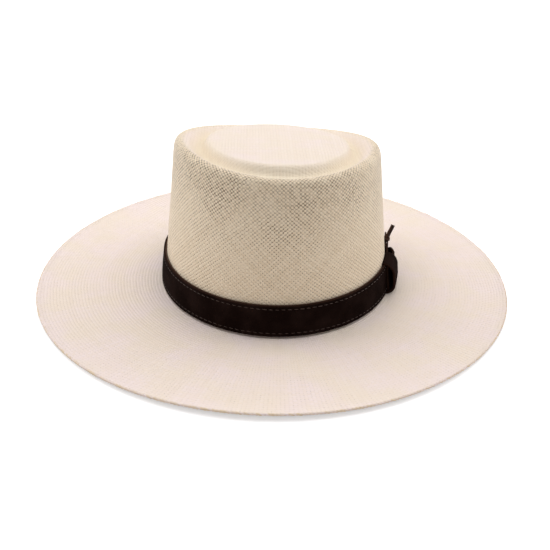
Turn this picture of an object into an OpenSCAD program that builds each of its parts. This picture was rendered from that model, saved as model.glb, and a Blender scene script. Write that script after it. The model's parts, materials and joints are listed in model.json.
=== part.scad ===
// Panama hat with an open telescope crown, a flat brim and a leather band.
// Millimetres, +Z up, front of the hat towards -Y, the wearer's left side is +X.
// The origin is the centre of the brim's underside. Cross-sections are ovals:
// circles of half the width that are stretched front to back by one ratio.

/* [Head] */
// Inside length of the sweatband, front to back
head_len = 197; // [176:1:226]
// Inside width of the sweatband, side to side
head_wid = 165; // [150:1:192]

/* [Brim] */
// Overall length of the brim, front to back
brim_len = 394; // [320:1:440]
// Overall width of the brim, side to side
brim_wid = 357; // [290:1:400]
// How far the crown stands behind the brim's centre
crown_back = 8; // [0:0.5:14]
// Thickness of the back-woven edge
edge_t = 1.9; // [1.4:0.1:3]
// Width of the back-woven edge
edge_w = 3.2; // [2.4:0.1:6]

/* [Crown] */
// Thickness of the woven straw
straw_t = 1.3; // [0.8:0.1:1.8]
// Height of the rim's crest above the brim's underside, at the sides
crown_h = 110; // [84:0.5:130]
// Inward lean of the crown's wall, in degrees
wall_angle = 5; // [2:0.1:6]
// Drop of the crown's top from front to back, in degrees
top_tilt = 6.9; // [0:0.1:9]
// How far the rim dips at the front and back below its sides
rim_dip = 7; // [0:0.5:8]
// Height of the rounded shoulder under the crest
shoulder_h = 15.5; // [10:0.5:22]
// Distance from the wall to the rim's crest
crest_inset = 6; // [2:0.1:8]
// Distance from the crest to the bottom of the groove
groove_inset = 14; // [10:0.5:22]
// Depth of the groove under the crest
groove_depth = 7; // [3:0.5:12]
// Distance from the groove's bottom to the edge of the plateau
plateau_inset = 8; // [5:0.5:14]
// Height of the plateau's edge below the crest
plateau_drop = 0.4; // [0:0.1:3]
// Rise of the plateau from its edge to its middle
plateau_dome = 1.4; // [0.2:0.1:4]

/* [Sweatband] */
// Thickness of the sweatband's leather
sweat_t = 1; // [0.6:0.1:1.6]
// Height of the sweatband
sweat_h = 32; // [24:1:40]
// Gap between the sweatband and the straw
sweat_gap = 0.6; // [0.5:0.1:1.2]
// Diameter of the reed
reed_d = 1.8; // [1.2:0.1:2.6]
// Thickness of the cloth tape round the reed
tape_t = 0.25; // [0.2:0.05:0.5]
// Height of the tape's flange behind the leather
flange_h = 6; // [3:0.5:10]
// Height of the stitching above the sweatband's lower edge
sweat_stitch_h = 3; // [2:0.5:8]
// Width of the leather tab over the back seam
tab_w = 18; // [10:1:30]
// Thickness of the tab
tab_t = 0.8; // [0.5:0.1:1.4]
// Length of one loop of the bow
bow_loop = 12; // [8:0.5:16]
// Height of the bow's loops
bow_h = 6; // [4:0.5:9]
// Thickness of the bow's loops
bow_t = 2.4; // [1.6:0.1:4]
// Width of the blank size label
label_w = 15; // [10:1:24]
// Height of the blank size label
label_h = 20; // [12:1:24]
// Thickness of the size label
label_t = 0.3; // [0.2:0.05:0.6]

/* [Hatband] */
// Height of the hatband's strap
strap_h = 22.5; // [18:0.5:34]
// Thickness of the strap's face leather
face_t = 1.4; // [1:0.1:2]
// Thickness of the strap's lining leather
lining_t = 1; // [0.9:0.1:1.6]
// Gap between the hatband and the straw
strap_gap = 0.3; // [0.3:0.05:0.8]
// Distance from the strap's edges to its rows of stitching
row_inset = 2.5; // [1.6:0.1:4]
// Thickness of the sewing thread
thread_t = 0.4; // [0.3:0.05:0.7]
// Length of the overlapping end from the keeper's middle to its tip
tongue_len = 30; // [22:1:34]
// Gap between the overlapping end and the rows of stitching
tongue_clear = 0.8; // [0.3:0.1:3]
// Thickness of the overlapping end
tongue_t = 1.8; // [1:0.1:2]
// Outward splay of the overlapping end, in degrees
tongue_splay = 4; // [0:0.5:5]

/* [Keeper] */
// Position of the keeper round the band, in degrees from the wearer's left
keeper_at = -14; // [-20:0.5:0]
// Width of the keeper along the strap
keeper_w = 22; // [14:0.5:24]
// Room inside the keeper, in front of the strap
keeper_room = 5; // [4:0.1:7]
// Thickness of the keeper's front
keeper_t = 1.9; // [1.2:0.1:2.6]
// Thickness of the keeper's skived back, top and foot
keeper_skive = 1; // [0.6:0.05:1.2]
// Outer corner radius of the keeper
keeper_r = 6.5; // [4:0.5:8]
// Running clearance round the strap and over the brim
run_gap = 0.3; // [0.2:0.05:0.5]
// How far the keeper slides each way along the strap
keeper_travel = 4; // [1:0.5:6]

/* [Tie] */
// Gap between the overlapping end's tip and the lace
lace_gap = 2.6; // [0.5:0.1:8]
// Width of the lace
lace_w = 2.8; // [2:0.1:4]
// Thickness of the lace
lace_t = 1.2; // [0.8:0.1:1.3]
// Diameter of the knot
knot_d = 5.4; // [4:0.1:7]
// Length of the lace's front tail
tail_front = 12; // [6:0.5:18]
// Length of the lace's back tail
tail_back = 8; // [5:0.5:14]

/* [Hidden] */
$fn = 96;
over = 40;                       // overrun of the cutting tools
seat = 0.05;                     // gap between pieces that are glued or sewn together
columns = 72;                    // facets of the straw round the hat
wall_steps = 3;                  // facets of the crown's wall above the hatband
seam_gap = 0.4;                  // gap where the ends of the sweatband's pieces meet
slope = tan(wall_angle);
tilt = tan(top_tilt);
stretch = head_len / head_wid;   // length of every oval over its width

// Half widths of the ovals at the height of the brim's underside
sweat_r = head_wid / 2;
straw_in = sweat_r + sweat_t + sweat_gap;
straw_out = straw_in + straw_t;
lining_in = straw_out + strap_gap;
face_in = lining_in + lining_t;
face_out = face_in + face_t;

// Reed and sweatband
tape_r = reed_d / 2 + seat + tape_t;
reed_gap = 0.3;                  // gap round the taped reed, and under it
reed_x = straw_in - reed_gap - tape_r;
reed_z = reed_gap + tape_r;
sweat_z = reed_z + tape_r + reed_gap;
bow_gap = 0.2;

// Hatband, keeper and lace
strap_z = straw_t + run_gap + keeper_skive + run_gap;
strap_top = strap_z + strap_h;
strap_mid = strap_z + strap_h / 2;
back_t = lining_t + strap_gap - 2 * run_gap;     // thickness of the keeper's back
tongue_gap = 0.2;                // gap under the overlapping end, at its root
tongue_root = keeper_w / 2 - 2;  // the root stays hidden inside the keeper
tongue_h = strap_h - 2 * (row_inset + thread_t / 2 + tongue_clear);
slit_at = 3 - keeper_w / 2;      // where the strap's ends meet, under the keeper
slit_w = 0.5;
window_margin = 1.5;
lace_in = thread_t + seat;       // the lace lies over the stitching
lace_at = tongue_len + lace_gap + lace_w / 2;    // from the keeper's middle
lace_back = lining_t / 2;

// Centre of curvature of the strap's outer face at the keeper
face_len = face_out * stretch;
spot = [face_out * cos(keeper_at), face_len * sin(keeper_at)];
normal_at = atan2(sin(keeper_at) / face_len, cos(keeper_at) / face_out);
bend_r = pow(pow(face_out * sin(keeper_at), 2) + pow(face_len * cos(keeper_at), 2), 1.5)
    / (face_out * face_len);
bend_c = spot - bend_r * [cos(normal_at), sin(normal_at)];

function arc_angle(s) = s / bend_r * 180 / PI;
function bezier(p, t) = pow(1 - t, 3) * p[0] + 3 * pow(1 - t, 2) * t * p[1]
    + 3 * (1 - t) * t * t * p[2] + pow(t, 3) * p[3];
function curve(p, steps) = [for (i = [1:steps]) bezier(p, i / steps)];
function unit(v) = v / norm(v);
function left_of(v) = [-v[1], v[0]];
// Moves each point of an open line sideways by d, to its left
function beside(line, d) = [
    for (i = [0:len(line) - 1])
        let (a = line[max(i - 1, 0)], b = line[min(i + 1, len(line) - 1)])
        line[i] + d * left_of(unit(b - a))
];
// Points of an arc round c with radius r, from angle a0 to a1
function arc(c, r, a0, a1, steps) = [
    for (i = [0:steps]) let (a = a0 + (a1 - a0) * i / steps) c + r * [cos(a), sin(a)]
];
function ring(c, r) = arc(c, r, 0, 345, 23);

// Outer line of the crown from the brim's upper side to the middle of the plateau
wall_foot = [straw_out - slope * straw_t, straw_t];
wall_top = [straw_out - slope * (crown_h - shoulder_h), crown_h - shoulder_h];
crest = [wall_top[0] - crest_inset, crown_h];
groove = [crest[0] - groove_inset, crown_h - groove_depth];
plateau = [groove[0] - plateau_inset, crown_h - plateau_drop];
middle = [0, plateau[1] + plateau_dome];
tilt_from = strap_top + run_gap;
crown_line = concat(
    [wall_foot],
    [for (i = [0:wall_steps])
        let (z = tilt_from + (wall_top[1] - tilt_from) * i / wall_steps)
        [straw_out - slope * z, z]],
    curve([wall_top, wall_top + [-slope, 1] * shoulder_h * 0.6,
           crest + [crest_inset * 0.8, 0], crest], 6),
    curve([crest, crest - [groove_inset * 0.35, 0],
           groove + [groove_inset * 0.4, 0], groove], 6),
    curve([groove, groove - [plateau_inset * 0.45, 0],
           plateau + [plateau_inset * 0.4, -plateau_drop], plateau], 5),
    curve([plateau, plateau - [plateau[0] * 0.2, 0],
           middle + [plateau[0] * 0.4, 0], middle], 3)
);
crown_inside = beside(crown_line, straw_t);
last = len(crown_line) - 1;

// Outer line of the brim from the crown to the edge, and back under it
brim_half = brim_wid / 2;
brim_mid = (straw_out + brim_half) / 2;
edge_r = edge_t / 2;
brim_line = concat(
    [[brim_mid, straw_t], [brim_half - edge_w, straw_t]],
    arc([brim_half - edge_w + edge_r, edge_t - edge_r], edge_r, 135, 90, 1),
    arc([brim_half - edge_r, edge_t - edge_r], edge_r, 90, 0, 3),
    [[brim_half, 0], [brim_half - edge_w, 0], [brim_mid, 0], [straw_out, 0], [straw_in, 0]]
);

// The whole skin, from the plateau's middle out to the edge and back inside the crown
skin_line = concat(
    [for (i = [last - 1:-1:0]) crown_line[i]],
    brim_line,
    [for (i = [1:last - 1]) crown_inside[i]]
);

// How far the top's tilt has grown at height z: none at the band, all of it at the shoulder
function tilt_share(z) =
    let (t = min(max((z - tilt_from) / (wall_top[1] - tilt_from), 0), 1)) t * t * (3 - 2 * t);
// The dip of the rim, which fades out across the groove as half width x falls
function dip_share(x) =
    let (t = min(max((x - groove[0]) / (crest[0] - groove[0]), 0), 1)) t * t * (3 - 2 * t);
// A point of the skin at angle a. Its oval grows from the crown's foot to the brim's edge.
function skin_point(p, a) =
    let (
        out = max((p[0] - straw_out) / (brim_half - straw_out), 0),
        half_len = min(p[0], straw_out) * stretch * (1 - out) + out * brim_len / 2,
        y = half_len * sin(a),
        sink = tilt * y + rim_dip * dip_share(p[0]) * pow(sin(a), 2)
    )
    [p[0] * cos(a), y + crown_back * (1 - out), p[1] - tilt_share(p[1]) * sink];

// Places for the pieces: the ovals round the crown's foot, and the keeper
module foot_space() {
    translate([0, crown_back, 0]) scale([1, stretch, 1]) children();
}

module keeper_space(s = 0) {
    translate([bend_c[0], bend_c[1] + crown_back, 0])
        rotate([0, 0, normal_at + arc_angle(s)])
            children();
}

// A ring that follows the wall's lean, from half width r0 to r1 and from z0 to z1
module wall_ring(r0, r1, z0, z1) {
    foot_space()
        rotate_extrude()
            polygon([
                [r0 - slope * z0, z0], [r1 - slope * z0, z0],
                [r1 - slope * z1, z1], [r0 - slope * z1, z1]
            ]);
}

// A closed outline turned about the keeper's centre of curvature, w wide along the strap.
// Its points are [distance outside the strap's face, height], and lean with the wall.
module along_strap(points, w) {
    angle = arc_angle(w);
    rotate([0, 0, -angle / 2])
        rotate_extrude(angle = angle)
            polygon([for (p = points) [bend_r + p[0] - slope * p[1], p[1]]]);
}

// Everything near the keeper from s0 to s1 along the strap
module strap_sector(s0, s1) {
    keeper_space((s0 + s1) / 2)
        along_strap([
            [-over, -over], [over, -over], [over, strap_top + over], [-over, strap_top + over]
        ], s1 - s0);
}

// Rectangle from [x0, z0] to [x1, z1] whose outer corners have radius r
function rounded(x0, z0, x1, z1, r) = concat(
    [[x0, z1], [x0, z0]],
    arc([x1 - r, z0 + r], r, -90, 0, 6),
    arc([x1 - r, z1 - r], r, 0, 90, 6)
);

// Crown and brim, woven as one skin: rows of points round the hat, closed at both middles
module straw_body() {
    rows = len(skin_line);
    top = rows * columns;
    points = concat(
        [for (p = skin_line, c = [0:columns - 1]) skin_point(p, 360 * c / columns)],
        [[0, crown_back, middle[1]], [0, crown_back, middle[1] - straw_t]]
    );
    faces = concat(
        [for (r = [0:rows - 2], c = [0:columns - 1])
            let (i = r * columns, n = (c + 1) % columns)
            each [[i + c, i + n, i + columns + n], [i + c, i + columns + n, i + columns + c]]],
        [for (c = [0:columns - 1]) let (n = (c + 1) % columns) [top, n, c]],
        [for (c = [0:columns - 1])
            let (i = (rows - 1) * columns, n = (c + 1) % columns) [top + 1, i + c, i + n]]
    );
    color("wheat") polyhedron(points, faces);
}

// The ends of the sweatband, its reed and its tape meet in a butt seam at the back
module open_at_back() {
    difference() {
        children();
        translate([-seam_gap / 2, crown_back, -over]) cube([seam_gap, head_len, 2 * over + sweat_h]);
    }
}

module sweatband() {
    color("peru") open_at_back()
        wall_ring(sweat_r, sweat_r + sweat_t, sweat_z, sweat_z + sweat_h);
}

module sweatband_reed() {
    color("white") open_at_back()
        foot_space() rotate_extrude() polygon(ring([reed_x, reed_z], reed_d / 2));
}

module reed_tape() {
    flange_x = sweat_r + sweat_t + (sweat_gap - tape_t) / 2;
    flange_top = sweat_z + flange_h;
    color("ivory") open_at_back() foot_space() rotate_extrude() difference() {
        union() {
            polygon(ring([reed_x, reed_z], tape_r));
            polygon([
                [reed_x, reed_z], [flange_x + tape_t - slope * reed_z, reed_z],
                [flange_x + tape_t - slope * flange_top, flange_top],
                [flange_x - slope * flange_top, flange_top],
                [flange_x - slope * sweat_z, sweat_z - reed_gap / 2], [reed_x, sweat_z - reed_gap]
            ]);
        }
        polygon(ring([reed_x, reed_z], reed_d / 2 + seat));
    }
}

module sweatband_stitching() {
    z = sweat_z + sweat_stitch_h;
    color("beige") open_at_back()
        wall_ring(sweat_r - seat - thread_t, sweat_r - seat, z, z + thread_t);
}

// A patch of the sweatband's inner face, w wide, turned from the back by angle a
module sweat_patch(a, w, t, z0, z1) {
    intersection() {
        wall_ring(sweat_r - 2 * seat - thread_t - t, sweat_r - 2 * seat - thread_t, z0, z1);
        translate([0, crown_back, 0])
            rotate([0, 0, a]) translate([-w / 2, 0, 0]) cube([w, head_len, 2 * sweat_h]);
    }
}

module sweatband_back_tab() {
    color("sienna") sweat_patch(0, tab_w, tab_t, sweat_z, sweat_z + sweat_h);
}

module size_label() {
    z = sweat_z + (sweat_h - label_h) / 2;
    color("linen") sweat_patch(24, label_w, label_t, z, z + label_h);
}

// A flat bow whose two loops bend back along the curved tab
module sweatband_bow() {
    z = sweat_z + sweat_h * 0.55;
    tab_in = sweat_r - 2 * seat - thread_t - tab_t - slope * (z + bow_h / 2);
    y = crown_back + tab_in * stretch - bow_gap - bow_t / 2;
    turn = 1.1 * asin(bow_loop * stretch / 2 / tab_in);
    loop_r = bow_h / 4;
    knot_r = bow_t * 0.6;
    color("#241510") translate([0, y, z]) {
        for (side = [0, 1])
            mirror([side, 0, 0]) rotate([0, 0, -turn]) rotate([90, 0, 0])
                linear_extrude(height = bow_t, center = true) polygon(concat(
                    [[0, bow_h / 5], [0, -bow_h / 5]],
                    arc([bow_loop - loop_r, loop_r - bow_h / 2], loop_r, -90, 0, 4),
                    arc([bow_loop - loop_r, bow_h / 2 - loop_r], loop_r, 0, 90, 4)
                ));
        translate([0, bow_t / 2 - knot_r, -bow_h * 0.35]) cylinder(h = bow_h * 0.7, r = knot_r);
    }
}

module strap_face() {
    color("#2a1a14") difference() {
        wall_ring(face_in, face_out, strap_z, strap_top);
        strap_sector(slit_at, slit_at + slit_w);
    }
}

module strap_lining() {
    window = keeper_w / 2 + keeper_travel + window_margin;
    color("#4a3226") difference() {
        wall_ring(lining_in, face_in - seat, strap_z, strap_top);
        strap_sector(-window, lace_at + lace_w / 2 + window_margin);
    }
}

module stitch_row(z) {
    difference() {
        wall_ring(face_out + seat, face_out + thread_t, z - thread_t / 2, z + thread_t / 2);
        strap_sector(slit_at, slit_at + slit_w);
    }
}

module upper_stitching() {
    color("#5a4034") stitch_row(strap_top - row_inset);
}

module lower_stitching() {
    color("#5a4034") stitch_row(strap_z + row_inset);
}

// The strap's free end: it runs out through the keeper and stands off the band
module overlap_end() {
    length = tongue_root + tongue_len;
    middle_s = length / 2;
    tip = tongue_h / 2;
    color("#2a1a14")
        keeper_space(-tongue_root) translate([bend_r, 0, 0]) rotate([0, 0, -tongue_splay])
            translate([-bend_r, 0, 0]) intersection() {
                rotate([0, 0, arc_angle(middle_s)])
                    along_strap([
                        [tongue_gap, strap_z], [tongue_gap + tongue_t, strap_z],
                        [tongue_gap + tongue_t, strap_top], [tongue_gap, strap_top]
                    ], length);
                translate([bend_r / 2, 0, strap_mid]) rotate([90, 0, 90])
                    linear_extrude(height = bend_r) polygon(concat(
                        [[-over, tip], [-over, -tip]], arc([length - tip, 0], tip, -90, 90, 12)
                    ));
            }
}

module lace_tail(length, back_turn, out_turn) {
    rotate([back_turn, out_turn, 0])
        translate([-lace_t / 2, -lace_w / 2, 0]) cube([lace_t, lace_w, length + knot_d / 2]);
}

module tie_lace() {
    knot_x = bend_r + lace_in + lace_t + knot_d / 4 - slope * strap_top;
    knot_z = strap_top + knot_d * 0.4;
    back_x = -face_t - seat - lace_back;
    color("#1c1210") keeper_space(lace_at) {
        difference() {
            along_strap([
                [back_x, strap_z - lace_t], [lace_in + lace_t, strap_z - lace_t],
                [lace_in + lace_t, strap_top + lace_t], [back_x, strap_top + lace_t]
            ], lace_w);
            along_strap([
                [-face_t - seat, strap_z - seat], [lace_in, strap_z - seat],
                [lace_in, strap_top + seat], [-face_t - seat, strap_top + seat]
            ], lace_w + 1);
        }
        translate([knot_x, 0, knot_z]) {
            rotate([0, 0, 180]) sphere(d = knot_d);
            lace_tail(tail_front, -22, 26);
            lace_tail(tail_back, -48, -6);
        }
    }
}

module keeper_loop() {
    back_x = -face_t - run_gap;
    foot_z = strap_z - run_gap;
    head_z = strap_top + run_gap;
    color("#33211a") keeper_space() difference() {
        along_strap(rounded(back_x - back_t, foot_z - keeper_skive, keeper_room + keeper_t,
                            head_z + keeper_skive, keeper_r), keeper_w);
        along_strap(rounded(back_x, foot_z, keeper_room, head_z,
                            keeper_r - keeper_skive), keeper_w + 2);
    }
}

straw_body();
sweatband();
sweatband_reed();
reed_tape();
sweatband_stitching();
sweatband_back_tab();
sweatband_bow();
size_label();
strap_face();
strap_lining();
upper_stitching();
lower_stitching();
overlap_end();
tie_lace();
keeper_loop();
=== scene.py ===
import json
import math
import bpy
import numpy as np
from mathutils import Matrix, Vector, noise


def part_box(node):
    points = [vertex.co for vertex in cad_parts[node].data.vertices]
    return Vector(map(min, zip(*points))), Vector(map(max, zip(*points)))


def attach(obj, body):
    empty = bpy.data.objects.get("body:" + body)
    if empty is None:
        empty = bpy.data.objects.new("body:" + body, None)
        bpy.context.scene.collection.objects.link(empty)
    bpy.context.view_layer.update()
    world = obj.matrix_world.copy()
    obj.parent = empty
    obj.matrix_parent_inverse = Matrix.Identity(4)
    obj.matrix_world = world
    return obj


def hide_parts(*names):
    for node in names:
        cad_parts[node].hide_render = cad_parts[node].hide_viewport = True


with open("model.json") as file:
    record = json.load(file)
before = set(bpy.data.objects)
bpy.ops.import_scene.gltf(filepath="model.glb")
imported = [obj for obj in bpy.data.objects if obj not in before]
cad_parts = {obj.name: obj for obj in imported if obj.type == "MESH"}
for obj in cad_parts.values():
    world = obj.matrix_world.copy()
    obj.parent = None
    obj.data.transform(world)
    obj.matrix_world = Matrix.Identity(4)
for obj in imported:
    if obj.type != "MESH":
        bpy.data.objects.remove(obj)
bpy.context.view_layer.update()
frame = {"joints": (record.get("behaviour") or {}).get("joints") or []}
print("frame loaded")

mm = 0.001     # one millimetre

brimLow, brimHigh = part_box("straw_body")
bandLow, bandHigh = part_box("strap_face")
sweatLow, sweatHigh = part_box("sweatband")
reedLow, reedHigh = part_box("sweatband_reed")
tabLow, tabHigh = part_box("sweatband_back_tab")
bowLow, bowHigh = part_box("sweatband_bow")
labelLow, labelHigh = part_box("size_label")
crownY = (bandLow.y + bandHigh.y) / 2
stretch = (bandHigh.y - bandLow.y) / (bandHigh.x - bandLow.x)
brimHalf = (brimHigh.x, brimHigh.y)
bendCentre = Vector(next(j["pos_m"] for j in frame["joints"] if j["name"] == "keeper_slide"))


shot = {"azimuth": -1.46, "elevation": 26.0, "roll": 0.79, "distance": 0.857, "lens": 71.93,
        "shiftX": -0.001, "shiftY": -0.0009}
studio = {"sky": 0.765, "front": 0.69, "key": 20.0, "keySize": 2.4, "side": 7.2, "sideSize": 1.2,
          "floorTone": (0.86, 0.86, 0.87), "floorGlow": 0.46}


def addCamera():
    azimuth, elevation = math.radians(shot["azimuth"]), math.radians(shot["elevation"])
    back = Vector((math.sin(azimuth) * math.cos(elevation),
                   -math.cos(azimuth) * math.cos(elevation), math.sin(elevation)))
    camera = bpy.data.objects.new("camera", bpy.data.cameras.new("camera"))
    bpy.context.scene.collection.objects.link(camera)
    turn = back.to_track_quat("Z", "Y").to_matrix().to_4x4()
    roll = Matrix.Rotation(math.radians(shot["roll"]), 4, "Z")
    aim = Vector((0, crownY, 0))
    camera.matrix_world = Matrix.Translation(aim + back * shot["distance"]) @ turn @ roll
    camera.data.lens = shot["lens"]
    camera.data.shift_x = shot["shiftX"]
    camera.data.shift_y = shot["shiftY"]
    camera.data.clip_start = 0.01
    bpy.context.scene.camera = camera


def addSoftbox(name, place, size, power):
    lamp = bpy.data.lights.new(name, "AREA")
    lamp.shape = "SQUARE"
    lamp.size = size
    lamp.energy = power
    box = bpy.data.objects.new(name, lamp)
    box.location = place
    box.rotation_euler = (Vector((0, 0, 0.05)) - Vector(place)).to_track_quat("-Z", "Y").to_euler()
    bpy.context.scene.collection.objects.link(box)


def addStudio():
    scene = bpy.context.scene
    scene.view_settings.view_transform = "Standard"
    world = bpy.data.worlds.new("studio")
    scene.world = world
    world.use_nodes = True
    tree = world.node_tree
    tree.nodes.clear()
    out = tree.nodes.new("ShaderNodeOutputWorld")
    light = tree.nodes.new("ShaderNodeBackground")
    way = tree.nodes.new("ShaderNodeSeparateXYZ")           # the front of the room is dimmer
    tree.links.new(tree.nodes.new("ShaderNodeTexCoord").outputs["Generated"], way.inputs[0])
    fade = tree.nodes.new("ShaderNodeMapRange")
    tree.links.new(way.outputs["Y"], fade.inputs["Value"])
    for label, number in (("From Min", -0.9), ("From Max", 0.5),
                          ("To Min", studio["sky"] * studio["front"]), ("To Max", studio["sky"])):
        fade.inputs[label].default_value = number
    tree.links.new(fade.outputs[0], light.inputs["Strength"])
    seen = tree.nodes.new("ShaderNodeBackground")
    path = tree.nodes.new("ShaderNodeLightPath")
    mix = tree.nodes.new("ShaderNodeMixShader")
    tree.links.new(path.outputs["Is Camera Ray"], mix.inputs[0])
    tree.links.new(light.outputs[0], mix.inputs[1])
    tree.links.new(seen.outputs[0], mix.inputs[2])
    tree.links.new(mix.outputs[0], out.inputs["Surface"])
    addSoftbox("key", (0.0, 0.5, 1.7), studio["keySize"], studio["key"])
    for side in (-1, 1):
        addSoftbox("side", (side * 1.4, 0.5, 0.7), studio["sideSize"], studio["side"])
    mesh = bpy.data.meshes.new("floor")
    reach = 8.0
    mesh.from_pydata([(x * reach, y * reach, 0) for x, y in ((-1, -1), (1, -1), (1, 1), (-1, 1))],
                     [], [(0, 1, 2, 3)])
    floor = bpy.data.objects.new("floor", mesh)
    floor.location.z = -0.0003
    scene.collection.objects.link(floor)
    material = bpy.data.materials.new("floorPaper")
    material.use_nodes = True
    tree = material.node_tree
    shader = tree.nodes["Principled BSDF"]
    shader.inputs["Base Color"].default_value = (*studio["floorTone"], 1)
    shader.inputs["Roughness"].default_value = 0.9
    shader.inputs["Specular IOR Level"].default_value = 0.0
    shader.inputs["Emission Color"].default_value = (1, 1, 1, 1)
    path = tree.nodes.new("ShaderNodeLightPath")
    glow = tree.nodes.new("ShaderNodeMath")
    glow.operation = "MULTIPLY"
    glow.inputs[1].default_value = studio["floorGlow"]
    tree.links.new(path.outputs["Is Camera Ray"], glow.inputs[0])
    tree.links.new(glow.outputs[0], shader.inputs["Emission Strength"])
    mesh.materials.append(material)


addCamera()
addStudio()
print("camera, lights and floor placed")


def startGroup(name, inputs, outputs):
    group = bpy.data.node_groups.new(name, "ShaderNodeTree")
    for label, kind, value in inputs:
        socket = group.interface.new_socket(label, in_out="INPUT", socket_type=kind)
        if value is not None:
            socket.default_value = value
    for label, kind in outputs:
        group.interface.new_socket(label, in_out="OUTPUT", socket_type=kind)
    given, result = group.nodes.new("NodeGroupInput"), group.nodes.new("NodeGroupOutput")
    return group, given.outputs, result.inputs


def plug(tree, target, value):
    if isinstance(value, bpy.types.NodeSocket):
        tree.links.new(value, target)
    elif value is not None:
        target.default_value = value


def calc(tree, operation, first, second=None, third=None):
    node = tree.nodes.new("ShaderNodeMath")
    node.operation = operation
    for i, value in enumerate((first, second, third)):
        plug(tree, node.inputs[i], value)
    return node.outputs[0]


def times(tree, first, second):
    return calc(tree, "MULTIPLY", first, second)


def timesPlus(tree, first, second, third):
    return calc(tree, "MULTIPLY_ADD", first, second, third)


def noiseOf(tree, vector, scale, detail=2.0, roughness=0.5):
    node = tree.nodes.new("ShaderNodeTexNoise")
    plug(tree, node.inputs["Vector"], vector)
    plug(tree, node.inputs["Scale"], scale)
    node.inputs["Detail"].default_value = detail
    node.inputs["Roughness"].default_value = roughness
    return node.outputs["Fac"]


def blendColours(tree, share, first, second):
    node = tree.nodes.new("ShaderNodeMix")
    node.data_type = "RGBA"
    plug(tree, node.inputs[0], share)
    plug(tree, node.inputs[6], first)
    plug(tree, node.inputs[7], second)
    return node.outputs[2]


def remap(tree, value, fromLow, fromHigh, toLow=0.0, toHigh=1.0):
    node = tree.nodes.new("ShaderNodeMapRange")
    node.interpolation_type = "SMOOTHSTEP"
    plug(tree, node.inputs["Value"], value)
    for label, number in zip(("From Min", "From Max", "To Min", "To Max"),
                             (fromLow, fromHigh, toLow, toHigh)):
        plug(tree, node.inputs[label], number)
    return node.outputs[0]


def useGroup(tree, group, **values):
    node = tree.nodes.new("ShaderNodeGroup")
    node.node_tree = group
    for label, value in values.items():
        plug(tree, node.inputs[label], value)
    return node.outputs


def startMaterial(name, roughness, specular=0.3, sheen=0.0):
    material = bpy.data.materials.new(name)
    material.use_nodes = True
    tree = material.node_tree
    shader = tree.nodes["Principled BSDF"]
    shader.inputs["Roughness"].default_value = roughness
    shader.inputs["Specular IOR Level"].default_value = specular
    shader.inputs["Sheen Weight"].default_value = sheen
    return material, tree, shader


def addBump(tree, shader, height, distance):
    bump = tree.nodes.new("ShaderNodeBump")
    bump.inputs["Distance"].default_value = distance
    tree.links.new(height, bump.inputs["Height"])
    tree.links.new(bump.outputs["Normal"], shader.inputs["Normal"])


def attribute(tree, name):
    node = tree.nodes.new("ShaderNodeAttribute")
    node.attribute_name = name
    return node.outputs["Fac"]


def uvOf(tree, layer):
    node = tree.nodes.new("ShaderNodeUVMap")
    node.uv_map = layer
    return node.outputs["UV"]


def objectPlace(tree):
    return tree.nodes.new("ShaderNodeTexCoord").outputs["Object"]


def makeWeaveGroup():
    # plain weave: x counts the straws of one set and y those of the other
    group, given, result = startGroup(
        "plainWeave",
        [("Lattice", "NodeSocketVector", None), ("Seed", "NodeSocketFloat", 0.0),
         ("Lead", "NodeSocketFloat", 0.0),                      # raises one set over the other
         ("Open", "NodeSocketFloat", 0.0)],                     # widens the gaps
        [("Height", "NodeSocketFloat"), ("Gap", "NodeSocketFloat"), ("Tone", "NodeSocketFloat"),
         ("Fibre", "NodeSocketFloat")])
    split = group.nodes.new("ShaderNodeSeparateXYZ")
    plug(group, split.inputs[0], given["Lattice"])
    heights, tones, fibres = [], [], []
    for across, along, sign in ((split.outputs[0], split.outputs[1], 1.0),
                                (split.outputs[1], split.outputs[0], -1.0)):
        number = calc(group, "FLOOR", across)
        offset = timesPlus(group, calc(group, "FRACT", across), 2.0, -1.0)
        fall = calc(group, "POWER", calc(group, "ABSOLUTE", offset), 2.4)
        crown = calc(group, "SUBTRACT", 1.0, fall)
        turn = calc(group, "ADD", calc(group, "SUBTRACT", along, 0.5), number)
        phase = times(group, turn, math.pi)
        wave = times(group, calc(group, "COSINE", phase), 0.42 * sign)
        rise = timesPlus(group, crown, 0.58, wave)
        heights.append(timesPlus(group, given["Lead"], sign, rise))
        cell = group.nodes.new("ShaderNodeCombineXYZ")
        plug(group, cell.inputs[0], number)
        plug(group, cell.inputs[1], given["Seed"])
        cell.inputs[2].default_value = sign
        random = group.nodes.new("ShaderNodeTexWhiteNoise")
        plug(group, random.inputs["Vector"], cell.outputs[0])
        tones.append(random.outputs["Value"])
        streak = group.nodes.new("ShaderNodeCombineXYZ")
        plug(group, streak.inputs[0], times(group, across, 9.0))
        plug(group, streak.inputs[1], times(group, along, 0.7))
        streak.inputs[2].default_value = sign * 3.0
        fibres.append(noiseOf(group, streak.outputs[0], 1.0, 1.0))
    onTop = calc(group, "GREATER_THAN", heights[0], heights[1])
    highest = calc(group, "MAXIMUM", heights[0], heights[1])
    plug(group, result["Height"], highest)
    # Gap: a mask for painted shade where the weave sinks between the straws
    level = calc(group, "SUBTRACT", highest, given["Open"])
    plug(group, result["Gap"], remap(group, level, 0.60, 0.14))
    for label, pair in (("Tone", tones), ("Fibre", fibres)):
        lead = calc(group, "SUBTRACT", pair[0], pair[1])
        plug(group, result[label], timesPlus(group, onTop, lead, pair[1]))
    return group


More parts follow.
